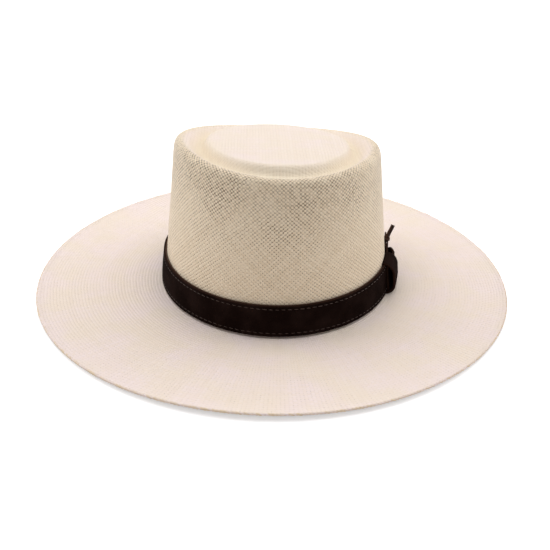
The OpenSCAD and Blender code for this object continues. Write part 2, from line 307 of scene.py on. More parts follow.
def makeGrainGroup():
    # nap and pores of leather, and broad cloudy patches where it has been handled
    group, given, result = startGroup(
        "leatherGrain",
        [("Place", "NodeSocketVector", None), ("Grain Scale", "NodeSocketFloat", 1400.0)],
        [("Height", "NodeSocketFloat"), ("Patches", "NodeSocketFloat"), ("Nap", "NodeSocketFloat")])
    nap = noiseOf(group, given["Place"], given["Grain Scale"], 4.0, 0.62)
    pores = group.nodes.new("ShaderNodeTexVoronoi")
    plug(group, pores.inputs["Vector"], given["Place"])
    plug(group, pores.inputs["Scale"], times(group, given["Grain Scale"], 0.8))
    plug(group, result["Nap"], nap)
    plug(group, result["Patches"], noiseOf(group, given["Place"], 55.0, 3.0))
    plug(group, result["Height"], timesPlus(group, pores.outputs["Distance"], 0.5, nap))
    return group


def makeEdgeGroup():
    # raw, lighter leather where the piece was cut, broken up by noise
    group, given, result = startGroup(
        "cutEdge",
        [("Edge", "NodeSocketFloat", 0.0), ("Place", "NodeSocketVector", None),
         ("Amount", "NodeSocketFloat", 1.0)],
        [("Mask", "NodeSocketFloat")])
    broken = noiseOf(group, given["Place"], 420.0, 3.0, 0.6)
    level = timesPlus(group, calc(group, "SUBTRACT", broken, 0.5), 0.5, given["Edge"])
    plug(group, result["Mask"], times(group, remap(group, level, 0.35, 0.85), given["Amount"]))
    return group


plainWeave = makeWeaveGroup()
leatherGrain = makeGrainGroup()
cutEdge = makeEdgeGroup()


# the dark brown colour is painted shade for the gaps between the straws, weighted separately on
# crown, top and brim
strawLook = {"cream": (0.885, 0.745, 0.565, 1), "tan": (0.785, 0.63, 0.45, 1),
             "pink": (0.86, 0.732, 0.70, 1), "yellow": (0.85, 0.732, 0.64, 1),
             "groove": (0.85, 0.735, 0.56, 1), "gapShade": (0.16, 0.10, 0.055, 1),
             "crownGapShade": 1.0, "topGapShade": 0.2, "brimGapShade": 0.40, "openTop": 0.32,
             "crownRelief": 0.42, "brimRelief": 0.24, "wander": 0.5, "seed": 3.0, "sheen": 0.16}


def makeStraw():
    material, tree, shader = startMaterial("wovenStraw", 0.62, 0.28, strawLook["sheen"])
    place = objectPlace(tree)
    wander = tree.nodes.new("ShaderNodeVectorMath")     # straws are never quite straight
    wander.operation = "SCALE"
    cloud = tree.nodes.new("ShaderNodeTexNoise")
    plug(tree, cloud.inputs["Vector"], place)
    cloud.inputs["Scale"].default_value = 60.0
    plug(tree, wander.inputs[0], cloud.outputs["Color"])
    wander.inputs["Scale"].default_value = strawLook["wander"]
    woven = []
    for layer in ("weave", "topWeave"):
        shifted = tree.nodes.new("ShaderNodeVectorMath")
        plug(tree, shifted.inputs[0], uvOf(tree, layer))
        plug(tree, shifted.inputs[1], wander.outputs[0])
        lead = timesPlus(tree, noiseOf(tree, place, 45.0, 1.0), 0.7, -0.35)
        gaps = times(tree, attribute(tree, "strain"), strawLook["openTop"])
        woven.append(useGroup(tree, plainWeave, Lattice=shifted.outputs[0], Seed=strawLook["seed"],
                              Lead=lead, Open=gaps))
    top, brim = attribute(tree, "topShare"), attribute(tree, "brimShare")

    def both(label):
        wall, upper = woven[0][label], woven[1][label]
        return timesPlus(tree, top, calc(tree, "SUBTRACT", upper, wall), wall)

    height, gap, tone, fibre = both("Height"), both("Gap"), both("Tone"), both("Fibre")
    # top and brim take the pale pink straw; the crown wall's cream is made yellower, and that
    # yellow is painted shade standing in for its bounced light
    topAndBrimShare = calc(tree, "MAXIMUM", brim, times(tree, top, 0.85))
    clouds = remap(tree, noiseOf(tree, place, 30.0, 2.0), 0.35, 0.65)
    pale = blendColours(tree, clouds, strawLook["pink"], strawLook["yellow"])
    # yellower tint in the groove round the plateau: painted shade in the recess
    pale = blendColours(tree, attribute(tree, "grooveShare"), pale, strawLook["groove"])
    mixed = timesPlus(tree, calc(tree, "SUBTRACT", fibre, 0.5), 0.4, times(tree, tone, 0.7))
    soft = blendColours(tree, times(tree, mixed, 0.3), pale, strawLook["tan"])
    crownTone = blendColours(tree, mixed, strawLook["cream"], strawLook["tan"])
    colour = blendColours(tree, topAndBrimShare, crownTone, soft)
    # painted shade in the gaps between the straws, deeper in some patches than in others
    gapShadeWeight = timesPlus(tree, top, strawLook["topGapShade"] - strawLook["crownGapShade"],
                       strawLook["crownGapShade"])
    speckle = remap(tree, noiseOf(tree, place, 420.0, 2.0), 0.42, 0.62, 0.25, 1.0)
    speckle = times(tree, speckle, strawLook["brimGapShade"])
    gapShadeWeight = timesPlus(tree, brim, calc(tree, "SUBTRACT", speckle, gapShadeWeight), gapShadeWeight)
    patches = remap(tree, noiseOf(tree, place, 24.0, 2.0), 0.3, 0.7, 0.5, 1.0)
    uneven = remap(tree, noiseOf(tree, place, 330.0, 1.0), 0.35, 0.65, 0.45, 1.1)
    patches = times(tree, patches, uneven)
    dark = times(tree, times(tree, gap, patches), gapShadeWeight)
    plug(tree, shader.inputs["Base Color"], blendColours(tree, dark, colour, strawLook["gapShade"]))
    plug(tree, shader.inputs["Roughness"], timesPlus(tree, fibre, 0.25, 0.48))
    relief = timesPlus(tree, topAndBrimShare, strawLook["brimRelief"] - strawLook["crownRelief"],
                       strawLook["crownRelief"])
    addBump(tree, shader, times(tree, height, relief), mm)
    return material


def makeLeather(name, colour, rawColour, grainScale, bumpDepth, roughness, sheen=0.0, raw=1.0,
                specular=0.02):
    material, tree, shader = startMaterial(name, roughness, specular, sheen)
    place = objectPlace(tree)
    grain = useGroup(tree, leatherGrain, **{"Place": place, "Grain Scale": grainScale})
    edge = useGroup(tree, cutEdge, Edge=attribute(tree, "edge"), Place=place, Amount=raw)
    lighter = tuple(min(1, c * 1.5 + 0.002) for c in colour) + (1,)
    darker = tuple(c * 0.7 for c in colour) + (1,)
    body = blendColours(tree, remap(tree, grain["Patches"], 0.35, 0.7), darker, lighter)
    body = blendColours(tree, remap(tree, grain["Nap"], 0.35, 0.7, 0.0, 0.35), body, lighter)
    plug(tree, shader.inputs["Base Color"], blendColours(tree, edge["Mask"], body, (*rawColour, 1)))
    plug(tree, shader.inputs["Roughness"], timesPlus(tree, grain["Nap"], 0.25, roughness - 0.12))
    addBump(tree, shader, grain["Height"], bumpDepth)
    return material


def makeThread(name, colour, pitch):
    material, tree, shader = startMaterial(name, 0.6, 0.3, 0.15)
    place = objectPlace(tree)
    twist = tree.nodes.new("ShaderNodeTexWave")
    plug(tree, twist.inputs["Vector"], place)
    twist.bands_direction = "DIAGONAL"
    twist.inputs["Scale"].default_value = pitch
    twist.inputs["Distortion"].default_value = 1.5
    tone = timesPlus(tree, attribute(tree, "tone"), 0.5, 0.25)
    dark = tuple(c * 0.55 for c in colour) + (1,)
    # the twist's grooves are darker where its bump is low: painted shade, mixed with random tone
    # per stitch
    share = timesPlus(tree, twist.outputs["Fac"], 0.5, tone)
    body = blendColours(tree, share, dark, (*colour, 1))
    plug(tree, shader.inputs["Base Color"], body)
    addBump(tree, shader, twist.outputs["Fac"], 0.1 * mm)
    return material


def makeEdgeStraw():
    material, tree, shader = startMaterial("edgeStraw", 0.6, 0.3)
    place = objectPlace(tree)
    speckle = noiseOf(tree, place, 900.0, 2.0)
    tone = timesPlus(tree, speckle, 0.4, attribute(tree, "tone"))
    colour = blendColours(tree, calc(tree, "SUBTRACT", tone, 0.2), strawLook["pink"],
                          strawLook["tan"])
    plug(tree, shader.inputs["Base Color"], colour)
    addBump(tree, shader, noiseOf(tree, place, 1500.0, 2.0), 0.08 * mm)
    return material


def makeCloth(name, colour, threadsPerMetre, ribbed=False):
    # the weave runs on the piece's own UV map, in metres
    material, tree, shader = startMaterial(name, 0.75, 0.25, 0.2)
    scaled = tree.nodes.new("ShaderNodeVectorMath")
    scaled.operation = "MULTIPLY"
    plug(tree, scaled.inputs[0], uvOf(tree, "cloth"))
    weft = threadsPerMetre * (0.3 if ribbed else 1.0)
    scaled.inputs[1].default_value = (threadsPerMetre, weft, 1)
    weave = useGroup(tree, plainWeave, Lattice=scaled.outputs[0], Seed=1.0)
    dark = tuple(c * 0.6 for c in colour) + (1,)
    # the low parts of the weave are darker than the raised threads: painted shade between the
    # threads, mixed with random tone per thread
    share = timesPlus(tree, weave["Tone"], 0.25, times(tree, weave["Height"], 0.8))
    plug(tree, shader.inputs["Base Color"], blendColours(tree, share, dark, (*colour, 1)))
    addBump(tree, shader, weave["Height"], 0.12 * mm)
    return material


wovenStraw = makeStraw()
edgeStraw = makeEdgeStraw()
suede = makeLeather("darkSuede", (0.0088, 0.0038, 0.0028), (0.04, 0.018, 0.012), 1700,
                    0.16 * mm, 0.92, 0.0, 0.45)
laceLeather = makeLeather("laceLeather", (0.018, 0.0085, 0.0062), (0.07, 0.035, 0.022), 1500,
                          0.12 * mm, 0.72, 0.0, 0.9, 0.12)
liningLeather = makeLeather("liningLeather", (0.05, 0.027, 0.017), (0.10, 0.055, 0.033), 1300,
                            0.12 * mm, 0.85, 0.1, 1.0)
sweatLeather = makeLeather("sweatLeather", (0.17, 0.075, 0.032), (0.30, 0.17, 0.09), 900,
                           0.07 * mm, 0.46, 0.0, 0.9, 0.35)
darkThread = makeThread("darkThread", (0.06, 0.03, 0.02), 900)
lightThread = makeThread("lightThread", (0.62, 0.5, 0.35), 900)
tapeCloth = makeCloth("tapeCloth", (0.74, 0.68, 0.57), 1800)
ribbon = makeCloth("ribbedRibbon", (0.045, 0.024, 0.017), 2600, True)
labelCloth = makeCloth("labelSatin", (0.78, 0.74, 0.66), 3200)
print("materials made")


def signedVolume(points, faces):
    total = 0.0
    for face in faces:
        first = points[face[0]]
        for i in range(1, len(face) - 1):
            total += np.dot(first, np.cross(points[face[i]], points[face[i + 1]]))
    return total / 6


def addPiece(name, points, faces, material, corners=None, values=None):
    # corners: {uv layer: one (u, v) per face corner}; values: {attribute: one number per point}
    points = np.asarray(points, float)
    flip = signedVolume(points, faces) < 0
    if flip:
        faces = [tuple(reversed(f)) for f in faces]
    mesh = bpy.data.meshes.new(name)
    mesh.from_pydata(points.tolist(), [], faces)
    for layer, coordinates in (corners or {}).items():
        data = mesh.uv_layers.new(name=layer).data
        flat, start = [], 0
        for face in faces:
            part = coordinates[start:start + len(face)]
            flat.extend(reversed(part) if flip else part)
            start += len(face)
        data.foreach_set("uv", np.asarray(flat, float).ravel())
    for label, numbers in (values or {}).items():
        mesh.attributes.new(label, "FLOAT", "POINT").data.foreach_set("value", numbers)
    mesh.materials.append(material)
    mesh.polygons.foreach_set("use_smooth", [True] * len(mesh.polygons))
    mesh.update()
    piece = bpy.data.objects.new(name, mesh)
    bpy.context.scene.collection.objects.link(piece)
    return piece


def runAlong(line):
    # distance from the line's start to each of its points
    return np.concatenate([[0], np.cumsum(np.linalg.norm(np.diff(line, axis=0), axis=1))])


def clamp(value):
    return min(max(value, 0.0), 1.0)


def ease(value, start, end):
    # 0 before start and 1 past end, with a soft change between them
    t = clamp((value - start) / (end - start))
    return t * t * (3 - 2 * t)


def loft(name, rings, material, closed=True, edge=None):
    # rings: equal closed outlines of points; closed joins the last outline to the first
    rings = np.asarray(rings, float)
    count, sides = rings.shape[:2]
    faces, uv = [], []
    girth = runAlong(np.vstack([rings[0], rings[0][:1]]))
    centres = rings.mean(axis=1)
    run = runAlong(np.vstack([centres, centres[:1]]))
    for i in range(count if closed else count - 1):
        k = (i + 1) % count
        for j in range(sides):
            n = (j + 1) % sides
            faces.append((i * sides + j, i * sides + n, k * sides + n, k * sides + j))
            uv += [(run[i], girth[j]), (run[i], girth[j + 1]), (run[i + 1], girth[j + 1]),
                   (run[i + 1], girth[j])]
    if not closed:
        for start in (0, (count - 1) * sides):
            face = tuple(range(start, start + sides))
            faces.append(face if start else tuple(reversed(face)))
            uv += [(girth[j], 0.0) for j in range(sides)]
    marks = np.zeros(count * sides) if edge is None else np.tile(edge, count)
    return addPiece(name, rings.reshape(-1, 3), faces, material, {"cloth": uv}, {"edge": marks})


def finishEdges(piece):
    # flat end caps stay sharp against smooth sides
    piece.data.set_sharp_from_angle(angle=math.radians(50))


def bezier(p, steps):
    t = np.linspace(0, 1, steps + 1)[1:, None]
    p = np.asarray(p, float)
    return ((1 - t) ** 3 * p[0] + 3 * (1 - t) ** 2 * t * p[1] + 3 * (1 - t) * t ** 2 * p[2]
            + t ** 3 * p[3])


def respace(line, step):
    line = np.asarray(line, float)
    run = runAlong(line)
    places = np.linspace(0, run[-1], max(2, round(run[-1] / step) + 1))
    return np.stack([np.interp(places, run, line[:, k]) for k in range(line.shape[1])], axis=1)


def beside(line, distance):
    ahead = np.gradient(line, axis=0)
    ahead /= np.linalg.norm(ahead, axis=1)[:, None]
    return line + distance * np.stack([-ahead[:, 1], ahead[:, 0]], axis=1)


def smoothRoute(points, perSpan=8, closed=False):
    # Catmull-Rom curve through given points
    points = [np.asarray(p, float) for p in points]
    count = len(points)
    route = []
    for i in range(count if closed else count - 1):
        def at(k):
            return points[k % count] if closed else points[min(max(k, 0), count - 1)]
        a, b, c, d = at(i - 1), at(i), at(i + 1), at(i + 2)
        for step in range(perSpan):
            t = step / perSpan
            route.append(0.5 * (2 * b + (c - a) * t + (2 * a - 5 * b + 4 * c - d) * t * t
                                + (3 * b - a - 3 * c + d) * t ** 3))
    if not closed:
        route.append(points[-1])
    return np.array(route)


def roundedSection(width, thickness, radius, steps=3):
    # closed outline of a strip's cross-section: x across its width, y through its thickness
    points = []
    for cx, cy, start in ((1, 1, 0), (-1, 1, 90), (-1, -1, 180), (1, -1, 270)):
        for k in range(steps + 1):
            angle = math.radians(start + 90 * k / steps)
            points.append((cx * (width / 2 - radius) + radius * math.cos(angle),
                           cy * (thickness / 2 - radius) + radius * math.sin(angle)))
    return np.array(points)


def sweep(name, route, section, faceOut, material, closed=False, cutEdges=False, taper=None):
    # section x runs along the strip's width and y along faceOut, the way its face looks
    route = np.asarray(route, float)
    ahead = (np.roll(route, -1, 0) - np.roll(route, 1, 0)) if closed else np.gradient(route, axis=0)
    ahead /= np.linalg.norm(ahead, axis=1)[:, None]
    out = np.asarray(faceOut, float)
    if out.ndim == 1:
        out = np.tile(out, (len(route), 1))
    out = out - (out * ahead).sum(1)[:, None] * ahead
    out /= np.linalg.norm(out, axis=1)[:, None]
    side = np.cross(ahead, out)
    size = np.ones(len(route)) if taper is None else np.asarray(taper)
    rings = [route[i] + size[i] * section[:, :1] * side[i] + section[:, 1:] * out[i]
             for i in range(len(route))]
    half = np.abs(section[:, 0]).max()
    edge = None
    if cutEdges:
        edge = np.clip((np.abs(section[:, 0]) - half + 0.6 * mm) / (0.5 * mm), 0, 1)
    piece = loft(name, rings, material, closed, edge)
    finishEdges(piece)
    return piece


def mergePieces(name, pieces):
    keep = pieces[0]
    with bpy.context.temp_override(active_object=keep, object=keep, selected_objects=pieces,
                                   selected_editable_objects=pieces):
        bpy.ops.object.join()
    keep.name = name
    return keep


band = {"face": 1.4 * mm, "lining": 1.0 * mm, "gap": 0.3 * mm,
        "slope": math.tan(math.radians(5)), "rowInset": 2.5 * mm, "rowSink": 0.22 * mm,
        "rowWide": 0.55 * mm, "puff": 0.28 * mm, "puffWide": 2.2 * mm,
        "keeperAt": math.radians(-14),
        "liningBefore": math.radians(8.9), "liningAfter": math.radians(18)}   # from the keeper
faceOut = bandHigh.x + band["slope"] * bandLow.z           # half width of the strap's face at z = 0
strawOut = faceOut - band["face"] - band["lining"] - band["gap"]


def ovalPoint(halfWidth, angle, height):
    x = halfWidth - band["slope"] * height
    return (x * math.cos(angle), crownY + x * stretch * math.sin(angle), height)


keeperAt = band["keeperAt"]
keeperSpot = Vector((faceOut * math.cos(keeperAt), crownY + faceOut * stretch * math.sin(keeperAt)))
bendRadius = (keeperSpot - bendCentre.xy).length
keeperNormal = math.atan2(keeperSpot.y - bendCentre.y, keeperSpot.x - bendCentre.x)


def bandPoint(along, out, height):
    # a place near the keeper: along the strap, out from its face, and up
    angle = keeperNormal + along / bendRadius
    reach = bendRadius + out - band["slope"] * height
    return np.array([bendCentre.x + reach * math.cos(angle), bendCentre.y + reach * math.sin(angle),
                     height])


def bandOutward(along):
    angle = keeperNormal + along / bendRadius
    return np.array([math.cos(angle), math.sin(angle), 0])


straw = {"thick": 1.3 * mm, "crest": 110 * mm, "shoulder": 15.5 * mm,
         "tilt": math.tan(math.radians(6.9)), "dip": 7 * mm, "crestInset": 6 * mm,
         "grooveInset": 14 * mm, "grooveDepth": 8 * mm,
         "plateauInset": 6 * mm, "plateauDrop": 0.4 * mm,
         "dome": 1.4 * mm, "footFillet": 0.5 * mm,
         "edgeThick": 1.9 * mm, "edgeWidth": 3.2 * mm,
         "columns": 384, "rowStep": 2.0 * mm, "wallCells": 168,
         "wallCellHigh": 2.65 * mm, "brimCells": 400, "strawPitch": 2.2 * mm,
         "strainFrom": 55 * mm, "strainOver": 40 * mm,          # the block stretches the weave here
         # a hand-blocked hat is never quite even
         "wave": 0.35 * mm, "calm": 4 * mm, "calmEnds": 12 * mm, "lean": 0.036, "shift": 0.3 * mm,
         "brimShift": -3.0 * mm, "longPlateau": 0.22, "liftFront": 2.6 * mm,
         "liftBack": 2.2 * mm, "frontDrop": 1.3 * mm,
         "frontFill": 1.4 * mm, "grooveWide": 6.5 * mm}


def crownLine():
    # outer line of the crown from the brim up to the plateau's middle, as (half width, height)
    slope, top = band["slope"], straw["crest"]
    foot = straw["thick"] + straw["footFillet"]
    wallTop = np.array([strawOut - slope * (top - straw["shoulder"]), top - straw["shoulder"]])
    crest = np.array([wallTop[0] - straw["crestInset"], top])
    groove = np.array([crest[0] - straw["grooveInset"], top - straw["grooveDepth"]])
    plateau = np.array([groove[0] - straw["plateauInset"], top - straw["plateauDrop"]])
    middle = np.array([0.0, plateau[1] + straw["dome"]])
    wall = np.array([[strawOut - slope * foot, foot], wallTop])
    parts = [wall,
             bezier([wallTop, wallTop + np.array([-slope, 1]) * straw["shoulder"] * 0.72,
                     crest + [straw["crestInset"] * 0.85, 0], crest], 24),
             bezier([crest, crest - [straw["grooveInset"] * 0.35, 0],
                     groove + [straw["grooveInset"] * 0.4, 0], groove], 24),
             bezier([groove, groove - [straw["plateauInset"] * 0.45, 0],
                     plateau + [straw["plateauInset"] * 0.4, -straw["plateauDrop"]], plateau], 24),
             bezier([plateau, plateau - [plateau[0] * 0.2, 0],
                     middle + [plateau[0] * 0.4, 0], middle], 40)]
    return np.vstack(parts), wallTop[1], crest[0]


def grooveShare(x, crestX):
    return math.exp(-((x - crestX + straw["grooveInset"]) / straw["grooveWide"]) ** 2)


def skinPoint(x, z, angle, wallTop, crestX):
    # the same rule as the CAD skin: the oval grows from the crown's foot to the brim's edge
    out = max((x - strawOut) / (brimHalf[0] - strawOut), 0.0)
    halfLength = min(x, strawOut) * stretch * (1 - out) + out * brimHalf[1]
    rim = ease(x, crestX - straw["grooveInset"], crestX)
    y = halfLength * math.sin(angle)
    if y < 0:
        y *= 1 + straw["longPlateau"] * (1 - rim)
    share = ease(z, bandHigh.z + 0.3 * mm, wallTop)               # the wall carries the tilt up
    sink = straw["tilt"] * y + straw["dip"] * rim * math.sin(angle) ** 2
    sink += straw["lean"] * x * math.cos(angle)
    sink += straw["frontDrop"] * max(-y / brimHalf[1] * 2.1, 0) ** 1.5    # lower at the front
    sink -= straw["frontFill"] * grooveShare(x, crestX) * max(-math.sin(angle), 0) ** 2
    lift = straw["liftBack"] if y > 0 else straw["liftFront"]
    return Vector((x * math.cos(angle) + straw["shift"] * share + straw["brimShift"] * out,
                   y + crownY * (1 - out),
                   z - share * sink + lift * (out * math.sin(angle)) ** 2))


def skinWave(point, x):
    # slow unevenness of hand-blocked straw
    share = clamp((x - strawOut) / (0.4 * (brimHalf[0] - strawOut)))
    lift = straw["wave"] * (1 + noise.noise(point * 11)) * share
    above = point.z - bandHigh.z - straw["calm"]
    if x < strawOut and above > 0:
        grow = min(above / straw["calmEnds"], 1.0)
        push = straw["wave"] * noise.noise(point * 17 + Vector((3, 1, 7))) * grow
        centre = Vector((0, crownY, point.z))
        return point + (point - centre).normalized() * push
    return point + Vector((0, 0, lift))


def makeStrawSkin():
    line, wallTop, crestX = crownLine()
    outer = respace(line, straw["rowStep"])
    inner = beside(outer, straw["thick"])
    inner[:, 0] = np.maximum(inner[:, 0], 0)
    strawIn = strawOut - straw["thick"]
    half, edgeR = brimHalf[0] - 0.8 * mm, straw["edgeThick"] / 2
    fillet = straw["footFillet"]
    corner = outer[0, 0]
    bend = [(corner + fillet * (1 - math.cos(a)), straw["thick"] + fillet * (1 - math.sin(a)))
            for a in np.radians([30, 60, 90])]
    brimRows = np.linspace(corner + fillet, half - straw["edgeWidth"], 24)[1:]
    rim = [(half - edgeR + edgeR * math.cos(a), edgeR + edgeR * math.sin(a))
           for a in np.radians([120, 90, 60, 30, 0, -30, -60, -85])]
    under = np.linspace(half - straw["edgeWidth"], strawOut + 2 * mm, 14)
    rows = [(x, z, "wall") for x, z in outer[::-1][1:]]
    rows += [(x, z, "brim") for x, z in bend] + [(x, straw["thick"], "brim") for x in brimRows]
    rows += [(x, z, "brim") for x, z in rim] + [(x, 0.0, "brim") for x in under]
    rows += [(strawOut, 0.0, "brim"), (strawIn, 0.0, "wall")]
    rows += [(x, z, "wall") for x, z in inner[1:-1] if z > straw["thick"]]
    run = runAlong(np.array([row[:2] for row in rows]))

    def columnsAt(x):
        for share, part in ((0.08, 16), (0.18, 8), (0.42, 4), (0.8, 2)):
            if x < strawOut * share:
                return straw["columns"] // part
        return straw["columns"]

    points, starts, counts, top, brim, groove, strain = [], [], [], [], [], [], []
    for x, z, kind in rows:
        count = columnsAt(x)
        starts.append(len(points))
        counts.append(count)
        for c in range(count):
            p = skinPoint(x, z, 2 * math.pi * c / count, wallTop, crestX)
            points.append(skinWave(p, x))
            top.append(clamp((crestX - 0.5 * mm - x) / (3 * mm)))
            brim.append(1.0 if kind == "brim" else 0.0)
            groove.append(grooveShare(x, crestX))
            rise = clamp((z - straw["strainFrom"]) / straw["strainOver"])
            ahead = 0.45 - 0.55 * math.sin(2 * math.pi * c / count)
            strain.append(rise * ahead * (x > crestX - 4 * mm))
    poles = [len(points), len(points) + 1]
    points += [Vector((straw["shift"], crownY, line[-1, 1] - down)) for down in (0, straw["thick"])]
    top += [1.0, 1.0]
    brim += [0.0, 0.0]
    groove += [0.0, 0.0]
    strain += [0.0, 0.0]
    faces, wallUv, topUv = [], [], []
    cell = straw["wallCellHigh"]

    def flatPlace(i):
        return points[i].x / straw["strawPitch"], points[i].y / straw["strawPitch"]

    def addFace(corners):
        # corners: (row, column as drawn, before wrapping)
        indices = []
        for row, column in corners:
            index = starts[row] + column % counts[row]
            indices.append(index)
            turn = column / counts[row]
            if rows[row][2] == "brim":
                lattice = (turn * straw["brimCells"], run[row] / straw["strawPitch"])
            else:
                u, v = turn * straw["wallCells"], run[row] / cell
                lattice = (u + v, u - v)
            wallUv.append(lattice)
            topUv.append(flatPlace(index))
        faces.append(tuple(indices))

    for r in range(len(rows) - 1):
        a, b = counts[r], counts[r + 1]
        for c in range(min(a, b)):
            if a == b:
                addFace([(r, c), (r + 1, c), (r + 1, c + 1), (r, c + 1)])
            elif b > a:
                addFace([(r, c), (r + 1, 2 * c), (r + 1, 2 * c + 1)])
                addFace([(r, c), (r + 1, 2 * c + 1), (r, c + 1)])
                addFace([(r, c + 1), (r + 1, 2 * c + 1), (r + 1, 2 * c + 2)])
            else:
                addFace([(r, 2 * c), (r + 1, c), (r, 2 * c + 1)])
                addFace([(r, 2 * c + 1), (r + 1, c), (r + 1, c + 1)])
                addFace([(r, 2 * c + 1), (r + 1, c + 1), (r, 2 * c + 2)])
    for row, pole, flip in ((0, poles[0], False), (len(rows) - 1, poles[1], True)):
        for c in range(counts[row]):
            pair = [(row, c), (row, c + 1)]
            if flip:
                pair.reverse()
            indices = [pole] + [starts[k] + n % counts[k] for k, n in pair]
            faces.append(tuple(indices))
            wallUv.extend([(0, 0)] * 3)
            topUv.extend([flatPlace(i) for i in indices])
    skin = addPiece("strawSkin", [tuple(p) for p in points], faces, wovenStraw,
                    {"weave": wallUv, "topWeave": topUv},
                    {"topShare": top, "brimShare": brim, "grooveShare": groove,
                     "strain": np.clip(strain, 0, 1).tolist()})
    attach(skin, "hat")
    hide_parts("straw_body")


makeStrawSkin()
print("straw skin made")


def makeStrandTree():
    # short strands, stitches or twists set along a path, each leaning by the same angle
    tree = bpy.data.node_groups.new("strandsOnPath", "GeometryNodeTree")
    face = tree.interface
    face.new_socket("Geometry", in_out="INPUT", socket_type="NodeSocketGeometry")
    for label, kind in (("Count", "NodeSocketInt"), ("Size", "NodeSocketVector"),
                        ("Lean", "NodeSocketVector"), ("Uneven", "NodeSocketFloat"),
                        ("Seed", "NodeSocketInt"), ("Material", "NodeSocketMaterial")):
        face.new_socket(label, in_out="INPUT", socket_type=kind)
    face.new_socket("Geometry", in_out="OUTPUT", socket_type="NodeSocketGeometry")
    kinds = {"given": "NodeGroupInput", "result": "NodeGroupOutput",
             "curve": "GeometryNodeMeshToCurve", "spaced": "GeometryNodeResampleCurve",
             "ball": "GeometryNodeMeshUVSphere", "shaped": "GeometryNodeTransform",
             "smooth": "GeometryNodeSetShadeSmooth", "leaning": "GeometryNodeTransform",
             "tangent": "GeometryNodeInputTangent", "align": "FunctionNodeAlignRotationToVector",
             "grow": "FunctionNodeRandomValue", "least": "ShaderNodeMath",
             "tone": "FunctionNodeRandomValue", "place": "GeometryNodeInstanceOnPoints",
             "store": "GeometryNodeStoreNamedAttribute", "real": "GeometryNodeRealizeInstances",
             "coat": "GeometryNodeSetMaterial"}
    nodes = {name: tree.nodes.new(kind) for name, kind in kinds.items()}
    for label, value in (("Segments", 8), ("Rings", 6), ("Radius", 0.5)):
        nodes["ball"].inputs[label].default_value = value
    nodes["align"].axis, nodes["align"].pivot_axis = "X", "Z"
    nodes["least"].operation = "SUBTRACT"                         # smallest size is 1 - Uneven
    nodes["least"].inputs[0].default_value = 1.0
    nodes["grow"].inputs[3].default_value = 1.0
    nodes["store"].domain = "INSTANCE"
    nodes["store"].inputs["Name"].default_value = "tone"
    for source, output, target, socket in (
            ("given", "Geometry", "curve", "Mesh"), ("curve", 0, "spaced", "Curve"),
            ("given", "Count", "spaced", "Count"), ("ball", "Mesh", "shaped", "Geometry"),
            ("given", "Size", "shaped", "Scale"), ("shaped", 0, "smooth", "Geometry"),
            ("smooth", 0, "leaning", "Geometry"), ("given", "Lean", "leaning", "Rotation"),
            ("tangent", 0, "align", "Vector"), ("spaced", 0, "place", "Points"),
            ("leaning", 0, "place", "Instance"), ("align", 0, "place", "Rotation"),
            ("given", "Uneven", "least", 1), ("least", 0, "grow", 2),
            ("given", "Seed", "grow", "Seed"), ("given", "Seed", "tone", "Seed"),
            ("grow", 1, "place", "Scale"), ("place", 0, "store", "Geometry"),
            ("tone", 1, "store", "Value"), ("store", 0, "real", "Geometry"),
            ("real", 0, "coat", "Geometry"), ("given", "Material", "coat", "Material"),
            ("coat", 0, "result", "Geometry")):
        tree.links.new(nodes[source].outputs[output], nodes[target].inputs[socket])
    return tree


strandTree = makeStrandTree()


def strandsAlong(name, route, look, seed, material, turn=1):
    # look: the strands' pitch, size, slant and unevenness; turn -1 slants them the other way
    mesh = bpy.data.meshes.new(name)
    count = len(route)
    mesh.from_pydata([tuple(p) for p in route], [(i, (i + 1) % count) for i in range(count)], [])
    piece = bpy.data.objects.new(name, mesh)
    bpy.context.scene.collection.objects.link(piece)
    line = np.asarray(route, float)
    total = runAlong(np.vstack([line, line[:1]]))[-1]
    maker = piece.modifiers.new("strands", "NODES")
    maker.node_group = strandTree
    settings = {"Count": round(total / look["pitch"]),
                "Size": (look["length"], look["width"], look["thick"]),
                "Lean": (0.0, math.radians(turn * look["slant"]), 0.0),
                "Uneven": look["uneven"], "Seed": seed, "Material": material}
    for item in strandTree.interface.items_tree:
        if item.in_out == "INPUT" and item.name in settings:
            maker[item.identifier] = settings[item.name]
    graph = bpy.context.evaluated_depsgraph_get()
    made = bpy.data.meshes.new_from_object(piece.evaluated_get(graph),
                                           preserve_all_data_layers=True, depsgraph=graph)
    piece.modifiers.clear()
    piece.data = made
    made.name = name
    bpy.data.meshes.remove(mesh)
    return piece


def fullTurn(halfWidth, height, start=0.0, steps=360):
    return [ovalPoint(halfWidth, start + 2 * math.pi * i / steps, height) for i in range(steps)]


braid = {"pitch": 2.5 * mm, "length": 4.6 * mm, "width": 1.5 * mm,
         "thick": 1.35 * mm, "inset": 1.0 * mm, "slant": 24, "uneven": 0.12,
         "steps": 720, "seed": 11}


def makeBrimEdge():
    route = []
    for i in range(braid["steps"]):
        p = skinPoint(brimHalf[0] - braid["inset"], straw["edgeThick"] * 0.55,
                      2 * math.pi * i / braid["steps"], 1.0, 0.0)
        route.append(skinWave(p, brimHalf[0]))
    strands = strandsAlong("brimEdge", route, braid, braid["seed"], edgeStraw)
    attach(strands, "hat")


makeBrimEdge()
print("brim edge woven")


def ringOf(name, outline, material, steps=288, edge=None, start=0.0, end=None, uneven=0.0):
    # outline: closed (out from the strap's face, height) points swept round the crown's oval
    full = end is None
    finish = 2 * math.pi if full else end
    rings = []
    for i in range(steps):
        angle = start + (finish - start) * i / (steps if full else steps - 1)
        ring = []
        for out, z in outline:
            p = Vector(ovalPoint(faceOut + out, angle, z))
            if uneven:
                away = Vector((math.cos(angle), math.sin(angle), 0))
                p += away * uneven * noise.noise(p * 45)
            ring.append(tuple(p))
        rings.append(ring)
    piece = loft(name, rings, material, full, edge)
    finishEdges(piece)
    return piece


